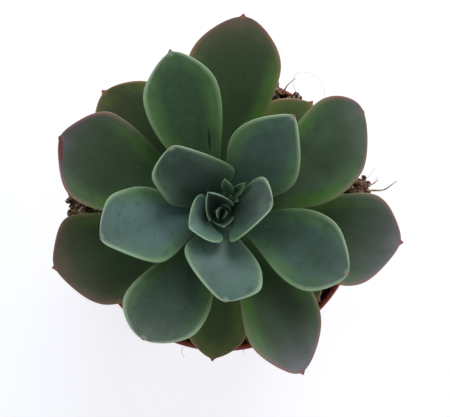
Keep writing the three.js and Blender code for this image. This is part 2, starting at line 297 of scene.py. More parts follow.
def leaf_rings(node):
    """A leaf's solid as its rings of points, from base to tip, each from the left margin over the
    top, then the middle of the base and the tip."""
    solid = bmesh.new()
    solid.from_mesh(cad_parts[node].data)
    bmesh.ops.remove_doubles(solid, verts=solid.verts, dist=SAME_POINT)
    poles = [v for v in solid.verts if len(v.link_edges) == RING]
    base, tip = sorted(poles, key=lambda v: Vector(v.co.xy).length + v.co.z)
    forward = Vector((tip.co.x - base.co.x, tip.co.y - base.co.y, 0)).normalized()
    left = Vector((0, 0, 1)).cross(forward)

    def neighbours(v):
        """The points that share an edge with v."""
        return {e.other_vert(v) for e in v.link_edges}

    first = neighbours(tip)
    ring = [next(iter(first))]
    while len(ring) < RING:
        ring.append(next(v for v in neighbours(ring[-1]) & first if v not in ring))
    centre = sum((v.co for v in ring), Vector()) / RING
    area = Vector()
    for here, there in zip(ring, ring[1:] + ring[:1]):
        area += (here.co - centre).cross(there.co - centre)
    if area.dot(tip.co - base.co) < 0:
        ring.reverse()

    rings = [ring]
    seen = {tip, *ring}
    while True:
        inner = []
        for here, there in zip(rings[-1], rings[-1][1:] + rings[-1][:1]):
            shared = (neighbours(here) & neighbours(there)) - seen
            inner.append(next(iter(shared), None))
        if inner[0] is None or base in inner:
            break
        rings.append(inner)
        seen.update(inner)
    rings.reverse()
    middle = rings[len(rings) // 2]
    start = max(range(RING), key=lambda k: middle[k].co.dot(left))
    order = [[ring[(start + k) % RING].co[:] for k in range(RING)] for ring in rings]
    result = np.array(order), np.array(base.co), np.array(tip.co)
    solid.free()
    return result


def through(before, start, end, after, t):
    """A smooth curve's point between start and end."""
    return 0.5 * (2 * start + (end - before) * t + (2 * before - 5 * start + 4 * end - after) * t ** 2
                  + (3 * start - before - 3 * end + after) * t ** 3)


def fine_rings(rings, tip):
    """Many more rings, each of many more points, on a smooth skin through the solid's points."""
    around = []
    for k in range(RING):
        a, b, c, d = (rings[:, (k + j) % RING] for j in (-1, 0, 1, 2))
        around += [through(a, b, c, d, i / AROUND) for i in range(AROUND)]
    wide = np.stack(around, axis=1)
    count = wide.shape[1]
    beyond = np.roll(wide[-1], count // 2, axis=0)
    tips = np.repeat(tip[None, :], count, axis=0)
    rows = [2 * wide[0] - wide[1], *wide, tips, beyond]
    fine = []
    for i in range(1, len(rows) - 2):
        fine += [through(*rows[i - 1:i + 3], j / ALONG) for j in range(ALONG)]
    return np.array(fine)


def rounded_tip(skin, tip, reach):
    """The skin with its end worn round: the solid ends in a sharp point, a leaf in a blunt one.
    reach is how far back from the tip that goes, in metres."""
    away = np.linalg.norm(skin - tip, axis=2) / (WEAR_FADE * reach)
    near = WEAR_STEP * np.exp(-(away ** 2))[..., None]

    def worn(worn_skin):
        for _ in range(round(WEAR_PASSES * (reach / MM) ** 2)):
            pole = worn_skin[-1:].mean(axis=1, keepdims=True)
            before = np.concatenate([worn_skin[:1], worn_skin[:-1]])
            after = np.concatenate([worn_skin[1:], np.broadcast_to(pole, worn_skin[-1:].shape)])
            worn_skin = worn_skin + near * ((before + after) / 2 - worn_skin)
        return worn_skin

    # wearing shortens the leaf: adding back most of what a second wearing would take fills it out
    once = worn(skin)
    skin = once + FILL_OUT * (once - worn(once))
    return skin, skin[-1].mean(axis=0)


def measured(skin, tip):
    """A leaf's skin measured in metres. For each ring of it, along is how far it is from the base,
    and width how wide it is. For each point, edge is the way over the skin to the nearest margin,
    across the way from the middle of the blade, near_tip the distance from the tip, and under 1 on
    the underside. size is 1 on a full-grown leaf and less on a shorter one."""
    rows, count, _ = skin.shape
    half = count // 2

    centres = skin.mean(axis=1)
    steps = np.linalg.norm(np.diff(centres, axis=0), axis=1)
    along = np.concatenate([[0], np.cumsum(steps)])
    length = along[-1] + np.linalg.norm(tip - centres[-1])
    width = np.linalg.norm(skin[:, 0] - skin[:, half], axis=1)[:, None]
    heading = tip - centres[-3]
    heading /= np.linalg.norm(heading)

    spans = np.linalg.norm(np.roll(skin, -1, axis=1) - skin, axis=2)
    travelled = np.concatenate([np.zeros((rows, 1)), np.cumsum(spans, axis=1)], axis=1)
    reach = travelled[:, :count]
    middle = travelled[:, half:half + 1]
    total = travelled[:, count:count + 1]
    near_tip = np.linalg.norm(skin - tip, axis=2)
    edge = np.minimum(np.minimum(reach, np.abs(reach - middle)), total - reach)
    edge = np.minimum(edge, near_tip + TIP_MARGIN)
    under = np.repeat((np.arange(count) > half)[None, :], rows, axis=0).astype(float)
    across = (reach - middle / 2) * (1 - 2 * under)
    return SimpleNamespace(along=along, length=length, width=width, heading=heading, edge=edge,
                           near_tip=near_tip, under=under, across=across,
                           size=min(1.0, length / FULL_LENGTH))


def unevenness(skin, leaf, serial):
    """How far each point is lifted, in metres. A leaf is never quite even: its margins wave a
    little, and its blade has soft dimples, and soft folds along it."""
    to_margin = 1 - np.clip(2 * leaf.edge / np.maximum(leaf.width, MM), 0, 1)
    fade = np.clip(leaf.length - leaf.along, 0, CALM_END) / CALM_END
    lift = np.zeros(leaf.edge.shape)
    for i, k in np.ndindex(lift.shape):
        wave = wavy(skin[i, k], WAVE_SIZE, serial) * to_margin[i, k] ** 2 * WAVE_HEIGHT
        dimple = wavy(skin[i, k], DIMPLE_SIZE, serial + 5) * DIMPLE_HEIGHT
        on_blade = (leaf.along[i] / FOLD_STRETCH, leaf.across[i, k], 0)
        fold = wavy(on_blade, FOLD_SIZE, serial + 9) * FOLD_HEIGHT
        lift[i, k] = (wave + dimple + fold) * fade[i] * leaf.size
    return lift


def leaf_skin(node, serial, looks):
    """One leaf: the fine, uneven skin of its solid with a beak on its end, and on each point what
    its material reads."""
    rings, base, tip = leaf_rings(node)
    skin = fine_rings(rings, tip)
    skin, tip = rounded_tip(skin, tip, looks["blunt"] * MM)
    middles = skin.mean(axis=1, keepdims=True)
    skin = middles + (skin - middles) * looks["broad"]
    leaf = measured(skin, tip)
    skin[..., 2] += unevenness(skin, leaf, serial)

    # the beak: a short hard point at the end of every leaf
    beak_length = looks["beak"] * BEAK_LENGTH * max(leaf.size, SHORTEST_BEAK)
    beak_radius = BEAK_RADIUS * max(leaf.size, THINNEST_BEAK)
    beak = np.exp(-((leaf.near_tip / beak_radius) ** 2)) * beak_length
    skin += beak[..., None] * leaf.heading
    beak_end = tip + leaf.heading * beak_length

    points = [*skin.reshape(-1, 3), base, beak_end]
    made = mesh_object(node + "_skin", points, tube_faces(*skin.shape[:2], poles=True))
    spread_looks(made.data, skin, leaf, serial, looks)
    return made


def spread_looks(mesh, skin, leaf, serial, looks):
    """Stores what a leaf's material reads on each point. edge is in millimetres, and on a narrow
    leaf it is stretched, so that the margin stays in proportion."""

    def store(name, values, at_base, at_beak):
        """One value a point: the rings', then the base's and the beak's."""
        spread(mesh, name, np.concatenate([np.ravel(values), [at_base, at_beak]]))

    count = skin.shape[1]
    share = np.clip(leaf.along / leaf.length, 0, 1)[:, None] * np.ones((1, count))
    edge = leaf.edge / np.clip(leaf.width.max() / FULL_WIDTH, 0.2, 1) / MM

    # the flush is strongest at the tip, and on the margins of the leaf's sunny side
    at_tip = np.exp(-np.maximum(leaf.length - leaf.along, 0) / (looks["flush_reach"] * MM))[:, None]
    at_margin = np.exp(-edge / looks["flush_width"]) * smoothstep(0.25, 0.75, share)
    sunny = np.full_like(edge, EVEN_FLUSH)
    if any(looks["flush_side"]):
        sunny = np.clip(0.5 + skin @ np.array([*looks["flush_side"], 0.0]) / SUNNY_SPAN, 0, 1.4)
    flush = looks["flush"] * np.clip(at_tip * 1.1 + at_margin * sunny, 0, 1)
    # the flanks, where the painted glow goes, lie a few millimetres in from the margins, and reach
    # neither the base nor the tip
    painted_glow_band = smoothstep(7.5, 2.5, edge) * smoothstep(0.2, 0.45, share) * smoothstep(0.95, 0.6, share)
    # the pale rim, with its painted highlight, is painted more strongly towards the tip, whose rounded
    # margin faces out into the light
    rim_and_highlight_reach = RIM_AND_HIGHLIGHT_AT_BASE + (1 - RIM_AND_HIGHLIGHT_AT_BASE) * smoothstep(0.35, 0.85, share)

    store("edge", edge, DEEP_INSIDE, 0)
    store("under", leaf.under * looks["pale_below"], looks["pale_below"], 0)
    store("share", share, 0, 1)
    store("flush", flush, 0, looks["flush"])
    store("powder", looks["powder"] * (0.75 + 0.25 * share), looks["powder"], 0.3)
    store("painted_glow_band", painted_glow_band, 0, 0)
    store("rim_and_highlight_reach", rim_and_highlight_reach, RIM_AND_HIGHLIGHT_AT_BASE, 1)
    store("beak", np.exp(-leaf.near_tip / (BEAK_TINT * leaf.size)), 0, 1)
    along = np.repeat(leaf.along[:, None], count, axis=1)
    place = np.stack([along, leaf.across, np.full_like(along, serial * 0.1)], axis=2)
    ends = [[0, 0, serial * 0.1], [leaf.length, 0, serial * 0.1]]
    spread(mesh, "place", np.concatenate([place.reshape(-1, 3), ends]), "FLOAT_VECTOR")


def leaf_material(name, deep, flesh, bloom, painted_glow_colour, painted_glow_strength, rim, pale, flush, below, sheen=0.14,
                  beak="#a05a4c", mark=None):
    """Echeveria skin: a satin cuticle over green flesh that light passes a little way into, under a
    bluish powder of wax. The middle of a leaf takes the deep colour as painted shade, the flanks are
    painted a brighter green as a painted glow of light through the thin flesh, and the rounded margin
    is pale, partly its own colour and partly a painted highlight; two arguments say how strong the
    painted glow and the pale margin are. mark adds one old wound: the middle, length and width of it
    in millimetres, its turn in degrees, its colour."""
    material, tree = blank_material(name)
    edge, share, powder, painted_glow_band, rim_and_highlight_reach, flushed, below_side, beaked = (
        put(tree, "Attribute", attribute_name=attribute).outputs["Fac"]
        for attribute in ("edge", "share", "powder", "painted_glow_band", "rim_and_highlight_reach", "flush", "under", "beak"))
    coords = put(tree, "TexCoord").outputs["Object"]
    place = put(tree, "Attribute", attribute_name="place").outputs["Vector"]
    # streaks run along the leaf. The grain of the wax and of the cuticle is too fine to show, so
    # dust and fine are drawn coarser.
    grain = put(tree, "Mapping", {"Vector": place, "Scale": (0.28, 1, 1)})
    streaks = put(tree, "TexNoise", {"Vector": grain, "Scale": per(4.3), "Detail": 3})
    patches = put(tree, "TexNoise", {"Vector": coords, "Scale": per(13), "Detail": 2})
    smudges = put(tree, "TexNoise", {"Vector": coords, "Scale": per(3.3), "Detail": 4,
                                     "Roughness": 0.6})
    mottle = put(tree, "TexNoise", {"Vector": coords, "Scale": per(1.5), "Detail": 3,
                                    "Roughness": 0.6})
    dust = put(tree, "TexNoise", {"Vector": coords, "Scale": per(1.1), "Detail": 2})
    fine = put(tree, "TexNoise", {"Vector": coords, "Scale": per(0.7), "Detail": 2})

    # painted shade: the middle of the blade, far from the margins, takes the deep colour, darker than
    # the flesh near the margins, for the shade in the leaf's hollow
    colour = layer(tree, deep, flesh, edge, (9.0, 1.5))
    colour = layer(tree, colour, deep, streaks, (0.3, 0.7), (0.65, 0))
    colour = layer(tree, colour, bloom, patches, (0.3, 0.68), (0.5, 1.05), powder)
    # painted glow: the flanks are painted a brighter green, for light passing through the thin flesh
    colour = layer(tree, colour, painted_glow_colour, patches, (0.3, 0.65), (0.15 * painted_glow_strength, painted_glow_strength), painted_glow_band)
    colour = layer(tree, colour, deep, smudges, (0.5, 0.72), (0, 0.4))
    colour = layer(tree, colour, bloom, mottle, (0.45, 0.75), (0, 0.18))
    colour = layer(tree, colour, flush, streaks, (0.2, 0.7), (0.75, 1.1), flushed)
    # the pale margin is yellow-green along the flanks, a painted glow of light through the thin
    # margin, and towards the tip takes the rim colour, partly the margin's own pale or pink colour and
    # partly a painted highlight where the rounded margin catches the light
    margin = layer(tree, rim, "#8aab58", share, (0.6, 0.95), (0.6, 0))
    colour = layer(tree, colour, margin, edge, (2.4, 0.2), (0, pale), rim_and_highlight_reach)
    colour = layer(tree, colour, "#c9cfc0", dust, (0.74, 0.8), (0, 0.25))
    colour = put(tree, "Mix", {0: below_side, 6: colour, 7: below}, data_type="RGBA")
    colour = layer(tree, colour, beak, beaked, (0.25, 0.7), (0, 0.9))

    height = put(tree, "Math", {0: fine, 1: 0.35, 2: streaks}, operation="MULTIPLY_ADD")
    if mark:
        spot, length, width, turn, wound = mark
        # the vertical is left out, so that the wound is an ellipse seen from above
        local = put(tree, "Mapping", {
            "Vector": coords,
            "Location": [v * MM for v in (*spot, 0)],
            "Rotation": (0, 0, math.radians(turn)),
            "Scale": (width / 2 * MM, length / 2 * MM, 1000),
        }, vector_type="TEXTURE")
        away = put(tree, "VectorMath", {0: local}, operation="LENGTH")
        ragged = put(tree, "Math", {0: fine, 1: 0.5, 2: away}, operation="MULTIPLY_ADD")
        colour = layer(tree, colour, wound, ragged, WOUND_EDGE)
        dent = put(tree, "MapRange", {"Value": ragged, "From Min": WOUND_EDGE[0],
                                      "From Max": WOUND_EDGE[1], "To Max": -WOUND_DEPTH})
        height = put(tree, "Math", {0: height, 1: dent}, operation="ADD")
    bump = put(tree, "Bump", {"Height": height, "Strength": 0.35, "Distance": 0.12 * MM})
    rough = put(tree, "MapRange", {"Value": powder, "To Min": 0.4, "To Max": 0.6})
    finish_material(tree, colour, rough, bump, IOR=1.42, Subsurface_Weight=0.2,
                    Subsurface_Radius=(0.6, 1.0, 0.35), Subsurface_Scale=1.6 * MM,
                    Sheen_Weight=sheen, Sheen_Roughness=0.45, Sheen_Tint="#dfe9e2")
    return material


# In each set of colours, one colour and its strength are a painted glow on the leaf's flanks.
YOUNG = dict(deep="#2a3d33", flesh="#435f4b", bloom="#57756c", painted_glow_colour="#54775a", painted_glow_strength=0.5,
             rim="#b4caac", pale=0.75, flush="#8a7068", below="#4d6450")
# painted light: the bud's colours are a lighter copy of the young leaves', lightened to offset the
# shade deep in the heart of the rosette
BUD = {**YOUNG, "deep": "#4a6056", "flesh": "#688876", "bloom": "#5f8074", "rim": "#a9c3a4",
       "pale": 0.7}
SHOOT = {**YOUNG, "deep": "#4c6b4c", "flesh": "#6b9062", "rim": "#9db78c", "below": "#5d7f56"}
# the grown leaves' blue-grey bloom is partly the wax's own colour and partly a painted reflection of
# cool light on the powder
GROWN = dict(deep="#304a33", flesh="#4b6c46", bloom="#5c7a77", painted_glow_colour="#56803c", painted_glow_strength=0.65,
             rim="#b3c8aa", pale=0.7, flush="#807c80", below="#5f7358")
GREENER = {**GROWN, "deep": "#33502f", "flesh": "#52763f", "bloom": "#5a7a66"}
OLD = dict(deep="#2f4823", flesh="#456830", bloom="#52694f", painted_glow_colour="#4f8320", painted_glow_strength=0.78,
           rim="#a8746c", pale=0.75, flush="#85828a", below="#62684a", sheen=0.06)
RUSTY = {**OLD, "flush": "#76605a", "rim": "#a06a60"}
SINGED = {**OLD, "flush": "#635d64"}
LOW = dict(deep="#506a3e", flesh="#809c57", bloom="#5c6c4d", painted_glow_colour="#86903f", painted_glow_strength=0.8,
           rim="#ab866c", pale=0.65, flush="#6e4c38", below="#6a6844", sheen=0.08)
SHADED = {**LOW, "deep": "#3c4f31", "flesh": "#607a44"}

young_skin = leaf_material("young_leaf_cuticle", **YOUNG)
bud_skin = leaf_material("bud_leaf_cuticle_painted_light", **BUD)
shoot_skin = leaf_material("shoot_leaf_cuticle", **SHOOT)
grown_skin = leaf_material("grown_leaf_cuticle", **GROWN)
old_skin = leaf_material("old_leaf_cuticle", **OLD)
rusty_skin = leaf_material("rusty_leaf_cuticle", **RUSTY)
low_skin = leaf_material("low_leaf_cuticle", **LOW)
shaded_skin = leaf_material("shaded_leaf_cuticle", **SHADED)
slit_skin = leaf_material("grown_leaf_cuticle_healed_slit", **GREENER,
                          mark=((-4.7, 27.6), 7.6, 1.0, 4, "#22351c"))
singed_skin = leaf_material("old_leaf_cuticle_dry_margin", **SINGED,
                            mark=((-59.9, 23.8), 10.0, 1.5, 2, "#6e3f39"))

# How a leaf looks unless its group or its own entry says otherwise. flush_reach and flush_width are
# how many millimetres the flush reaches back from the tip and in from the margins, flush_side points
# to its sunny side, blunt is how many millimetres of its end are worn round, beak the length of its
# beak as a share of the full one, pale_below how much of its own colour the underside has, and broad
# how much broader it is than its solid.
PLAIN = dict(flush_reach=6, flush_width=1.3, flush_side=(0, 0), blunt=7, beak=1.0, pale_below=1.0,
             broad=1.0)
# Each group's material and slot, how powdery its leaves are and how strongly they are flushed.
GROUPS = {
    "bud": dict(material=bud_skin, slot="young_leaves", powder=0.35, flush=0.0, pale_below=0.15,
                blunt=1.5, beak=0.5),
    "inner": dict(material=young_skin, slot="young_leaves", powder=0.6, flush=0.0, beak=0.4),
    "middle": dict(material=grown_skin, slot="young_leaves", powder=0.45, flush=0.12),
    "outer": dict(material=old_skin, slot="old_leaves", powder=0.25, flush=0.7),
    "low": dict(material=low_skin, slot="old_leaves", powder=0.1, flush=0.4),
    "side": dict(material=shoot_skin, slot="young_leaves", powder=0.1, flush=0.0, pale_below=0.5,
                 blunt=1, broad=1.25),
}
# What sets single leaves apart from their group.
LEAF_LOOKS = {
    # inner_leaf_1 takes the bud's lightened colours: painted light for the shade it sits in beside the
    # bud
    "inner_leaf_1": dict(material=bud_skin, powder=0.4, pale_below=0.3, blunt=6),
    "inner_leaf_2": dict(powder=0.1, blunt=11),
    "inner_leaf_3": dict(powder=0.1, blunt=9, beak=0.2),
    "inner_leaf_4": dict(powder=0.75, blunt=9),
    "middle_leaf_1": dict(powder=0.35, blunt=9, beak=0.4),
    "middle_leaf_2": dict(powder=0.95, blunt=9, beak=0.2),
    "middle_leaf_3": dict(powder=0.35, blunt=9, beak=0.4, flush=0.25),
    "middle_leaf_4": dict(material=slit_skin, powder=0.1, blunt=9),
    "middle_leaf_5": dict(powder=0.1, blunt=10, beak=0.2, flush=0.4, flush_reach=7),
    "outer_leaf_1": dict(powder=1.0, blunt=9, beak=0.3, flush=0.35, flush_side=(1, 0)),
    "outer_leaf_2": dict(material=singed_skin, powder=0.3, beak=0.5, flush=0.9, flush_width=2,
                         flush_side=(0, 1.2)),
    "outer_leaf_3": dict(blunt=11, flush=1.0, flush_reach=9),
    "outer_leaf_4": dict(material=rusty_skin, powder=0.2, blunt=11, flush=0.65, flush_reach=7,
                         flush_width=2.5, flush_side=(-1, 0.4)),
    "outer_leaf_5": dict(material=rusty_skin, flush_reach=7, flush_width=3, flush_side=(-1, 0)),
    "outer_leaf_6": dict(powder=0.4, flush=0.85, flush_reach=9, flush_side=(1, 0)),
    "low_leaf_1": dict(material=shaded_skin, blunt=9),
    "low_leaf_2": dict(blunt=8),
}


def make_leaves():
    """Every leaf gets a skin of its own in place of its solid."""
    names = [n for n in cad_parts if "_leaf_" in n]
    for serial, node in enumerate(sorted(names)):
        looks = {**PLAIN, **GROUPS[node.split("_")[0]], **LEAF_LOOKS.get(node, {})}
        made = leaf_skin(node, serial, looks)
        piece(made, looks["material"], looks["slot"], node)


make_leaves()


# ------------------------------------------------------------------ pot

# The pot's sizes, in millimetres. The profile's heights are millimetres above the floor.
pot_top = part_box("pot")[1] / MM
RIM_RADIUS = round(pot_top.x, 2)
POT_HEIGHT = round(pot_top.z, 2)
BASE_RADIUS = 37
BASE_CORNER = 2  # radius of the round where the wall meets the underside
RIM_STEP = 2.2  # how far the rim's band stands out from the wall
BAND_FOOT = POT_HEIGHT - 10
WALL = 1.2
RIB = 0.35  # how far the stacking rib stands out
DRAIN_HOLES = 6
DRAIN_CIRCLE = 24
DRAIN_RADIUS = 4
DRILL_DEPTH = 6  # more than the wall
CREASE = 40  # degrees
POT_SIDES = 168


def lathe(name, profile):
    """A profile of [radius, height] pairs in millimetres, turned about the Z axis."""
    points = []
    faces = []
    rows = []
    for radius, height in profile:
        if radius == 0:
            rows.append([len(points)] * POT_SIDES)
            points.append((0, 0, height * MM))
            continue
        rows.append(list(range(len(points), len(points) + POT_SIDES)))
        for k in range(POT_SIDES):
            angle = FULL_TURN * k / POT_SIDES
            points.append((radius * math.cos(angle) * MM, radius * math.sin(angle) * MM, height * MM))
    for lower, upper in zip(rows, rows[1:]):
        for k in range(POT_SIDES):
            n = (k + 1) % POT_SIDES
            corners = (lower[k], lower[n], upper[n], upper[k])
            faces.append(tuple(dict.fromkeys(corners)))
    return mesh_object(name, points, faces, CREASE)


def arc(centre_radius, centre_height, size, start, end, steps=6):
    """Points of a rounded corner in a profile, between two angles in degrees."""
    corner = []
    for i in range(steps + 1):
        angle = math.radians(start + (end - start) * i / steps)
        corner.append([centre_radius + size * math.cos(angle), centre_height + size * math.sin(angle)])
    return corner


def wall_radius(height):
    """The outside radius of the tapered wall, between the base's corner and the rim's band."""
    taper = (RIM_RADIUS - RIM_STEP - BASE_RADIUS) / (BAND_FOOT - BASE_CORNER)
    return BASE_RADIUS + taper * (height - BASE_CORNER)


def pot_profile():
    """From the middle of the underside, up the outside, over the rolled lip and down the inside."""
    outside = [[0, 0.9], [29.5, 0.9], [30.6, 0.5], [31.6, 0.05], [32.2, 0]]
    outside += arc(BASE_RADIUS - BASE_CORNER, BASE_CORNER, BASE_CORNER, -90, -10)
    outside += [[wall_radius(z), z] for z in (6, 12, 17.6)]
    outside += [[wall_radius(18) + RIB, 18.3], [wall_radius(20) + RIB, 20]]
    outside += [[wall_radius(z), z] for z in (20.6, *range(26, 80, 6))]
    outside += arc(wall_radius(BAND_FOOT - 1.4) + 1.1, BAND_FOOT - 1.1, 1.1, 180, 100, 4)
    outside += arc(RIM_RADIUS - 1, BAND_FOOT + 0.7, 0.7, -80, 0, 4)
    band = [[0.3, 2], [0.2, 5], [0.1, 7.6], [0.3, 8.1]]
    outside += [[RIM_RADIUS - inset, BAND_FOOT + rise] for inset, rise in band]
    outside += arc(RIM_RADIUS - 0.85, POT_HEIGHT - 0.9, 0.9, -40, 180, 12)
    inside = [[RIM_RADIUS - 1.7, BAND_FOOT + 7.8], [RIM_RADIUS - 1.8, BAND_FOOT + 2.6]]
    inside += arc(RIM_RADIUS - 2.4, BAND_FOOT + 2.2, 0.6, 0, -80, 3)
    inside += [[wall_radius(80) - WALL, 81.5], [wall_radius(40) - WALL, 40]]
    inside += [[wall_radius(4) - WALL, 3.6], [33.6, WALL + 0.6], [32, WALL], [0, WALL]]
    return outside + inside


def plastic():
    """Thermoformed polypropylene in terracotta red: a satin sheet with a faint orange-peel skin,
    hazed and scuffed by handling, and dusted with dry mix below the lip."""
    material, tree = blank_material("polypropylene_terracotta")
    coords = put(tree, "TexCoord").outputs["Object"]
    # haze in patches, and scuffs that run round the pot. Both they and the orange peel are finer on
    # a real pot, and are drawn coarse enough to show.
    haze = put(tree, "TexNoise", {"Vector": coords, "Scale": per(25), "Detail": 5, "Roughness": 0.6})
    stretched = put(tree, "Mapping", {"Vector": coords, "Scale": (0.12, 0.12, 1)})
    scuffs = put(tree, "TexNoise", {"Vector": stretched, "Scale": per(1.1), "Detail": 3})
    peel = put(tree, "TexNoise", {"Vector": coords, "Scale": per(0.8), "Detail": 2})
    grit = put(tree, "TexNoise", {"Vector": coords, "Scale": per(1.4), "Detail": 4, "Roughness": 0.7})
    height = put(tree, "SeparateXYZ", {"Vector": coords}).outputs["Z"]
    near_lip = put(tree, "MapRange", {"Value": height, "From Min": 70 * MM,
                                      "From Max": POT_HEIGHT * MM})

    colour = layer(tree, "#843829", "#974433", haze, (0.3, 0.7))
    colour = layer(tree, colour, "#a8705f", scuffs, (0.62, 0.75), (0, 0.3))
    colour = layer(tree, colour, "#4a3527", grit, (0.56, 0.66), (0, 0.75), near_lip)
    rough = put(tree, "MapRange", {"Value": haze, "From Min": 0.3, "From Max": 0.7,
                                   "To Min": 0.36, "To Max": 0.5})
    worn = put(tree, "MapRange", {"Value": scuffs, "From Min": 0.6, "From Max": 0.75, "To Max": 0.15})
    rough = put(tree, "Math", {0: rough, 1: worn}, operation="ADD")
    bump = put(tree, "Bump", {"Height": peel, "Strength": 0.25, "Distance": 0.06 * MM})
    finish_material(tree, colour, rough, bump, IOR=1.49, Subsurface_Weight=0.05,
                    Subsurface_Radius=(1.0, 0.35, 0.2), Subsurface_Scale=1.0 * MM)
    return material


def make_pot():
    """The turned shell with its drain holes cut out."""
    pot = lathe("pot_shell", pot_profile())
    drills = bmesh.new()
    for i in range(DRAIN_HOLES):
        angle = FULL_TURN * i / DRAIN_HOLES
        place = Vector((DRAIN_CIRCLE * math.cos(angle), DRAIN_CIRCLE * math.sin(angle), 1)) * MM
        bmesh.ops.create_cone(drills, cap_ends=True, segments=40, radius1=DRAIN_RADIUS * MM,
                              radius2=DRAIN_RADIUS * MM, depth=DRILL_DEPTH * MM,
                              matrix=Matrix.Translation(place))
    mesh = bpy.data.meshes.new("drills")
    drills.to_mesh(mesh)
    drills.free()
    cutter = bpy.data.objects.new("drills", mesh)
    scene.collection.objects.link(cutter)
    cut = pot.modifiers.new("holes", "BOOLEAN")
    cut.object = cutter
    cut.solver = "EXACT"
    apply_modifiers(pot)
    bpy.data.objects.remove(cutter)
    pot.data.set_sharp_from_angle(angle=math.radians(CREASE))
    piece(pot, plastic(), "pot", "pot")


def apply_modifiers(made):
    """Makes what an object's modifiers do part of its mesh."""
    graph = bpy.context.evaluated_depsgraph_get()
    result = bpy.data.meshes.new_from_object(made.evaluated_get(graph))
    made.modifiers.clear()
    made.data = result


# ------------------------------------------------------------------ potting mix

# Levels and sizes of the mix, in millimetres.
MIX_LEVEL = 84  # loose crumbs lie only above this
HEAP_LEVEL = 88.6  # and the heaped ones above this
CRUMB_SIZE, CRUMB_LIFT = 3.2, 0.9  # of the bed's coarse crumbs
FINE_SIZE, FINE_LIFT = 1.6, 0.5  # of the fine crumbs on them
LEAN = 0.3  # loose lumps lie on faces that overhang by less than this, straight down being 1
LUMP_DETAIL = 2
LUMP_CREASE = 50  # degrees
LUMPINESS = 0.32  # how uneven a lump is, as a share of its radius
DENT_SIZE = 0.8  # how wide its dents are, in radii
TILT = 0.6  # how far it tips over, in radians
PROUD = 0.35  # how far its middle stands out of the mix, in radii


def earth(name, dark, light, fleck, grain):
    """Peat: matte, dark and crumbly, its fibres and grains lighter where they have dried. grain is
    the size of its grains in millimetres."""
    material, tree = blank_material(name)
    coords = put(tree, "TexCoord").outputs["Object"]
    lumps = put(tree, "TexNoise", {"Vector": coords, "Scale": per(3.8), "Detail": 6, "Roughness": 0.7})
    grains = put(tree, "TexVoronoi", {"Vector": coords, "Scale": per(grain)})
    dry = put(tree, "TexNoise", {"Vector": coords, "Scale": per(0.9), "Detail": 3})

    colour = layer(tree, dark, light, lumps, (0.35, 0.65))
    colour = layer(tree, colour, fleck, dry, (0.54, 0.68), (0, 0.85))
    rough = put(tree, "MapRange", {"Value": dry, "From Min": 0.3, "From Max": 0.7, "To Min": 0.8})
    height = put(tree, "Math", {0: grains, 1: lumps}, operation="ADD")
    bump = put(tree, "Bump", {"Height": height, "Strength": 0.8, "Distance": 0.5 * MM})
    finish_material(tree, colour, rough, bump, IOR=1.4, Specular_IOR_Level=0.25)
    return material


def soil_bed():
    """The mix's own body, roughened at the scale of its crumbs."""
    bed = bpy.data.objects.new("soil_bed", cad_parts["soil"].data.copy())
    scene.collection.objects.link(bed)
    remesh = bed.modifiers.new("even", "REMESH")
    remesh.mode = "VOXEL"
    remesh.voxel_size = 1.0 * MM
    apply_modifiers(bed)
    mesh = bed.data
    points = np.array([v.co for v in mesh.vertices], float)
    normals = np.array([v.normal for v in mesh.vertices], float)
    # only the open top is roughened, not the sides that the pot hides
    open_top = smoothstep((MIX_LEVEL - 4) * MM, MIX_LEVEL * MM, points[:, 2])
    coarse = np.array([wavy(p, CRUMB_SIZE * MM) for p in points]) * CRUMB_LIFT
    fine = np.array([wavy(p, FINE_SIZE * MM, 3) for p in points]) * FINE_LIFT
    points += normals * ((coarse + fine) * MM * open_top)[:, None]
    mesh.vertices.foreach_set("co", points.ravel())
    mesh.update()
    mesh.shade_smooth()
    return bed


def unit_lump():
    """The points and faces of a lump of radius 1."""
    lump = bmesh.new()
    bmesh.ops.create_icosphere(lump, subdivisions=LUMP_DETAIL, radius=1)
    points = np.array([v.co for v in lump.verts])
    faces = [[v.index for v in f.verts] for f in lump.faces]
    lump.free()
    return points, faces


def seeds_on_soil(count, lowest, rng):
    """Points and normals spread evenly over the open top of the mix."""
    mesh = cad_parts["soil"].data
    mesh.calc_loop_triangles()
    corners = points_of("soil")[[list(t.vertices) for t in mesh.loop_triangles]]
    cross = np.cross(corners[:, 1] - corners[:, 0], corners[:, 2] - corners[:, 0])
    area = np.linalg.norm(cross, axis=1)
    open_top = (corners[:, :, 2].mean(axis=1) > lowest * MM) & (cross[:, 2] > -LEAN * area)
    weight = area * open_top
    picks = rng.choice(len(area), count, p=weight / weight.sum())
    a, b = rng.random((2, count, 1))
    flip = a + b > 1
    a, b = np.where(flip, 1 - a, a), np.where(flip, 1 - b, b)
    chosen = corners[picks]
    spots = chosen[:, 0] + a * (chosen[:, 1] - chosen[:, 0]) + b * (chosen[:, 2] - chosen[:, 0])
    return spots, cross[picks] / area[picks, None]


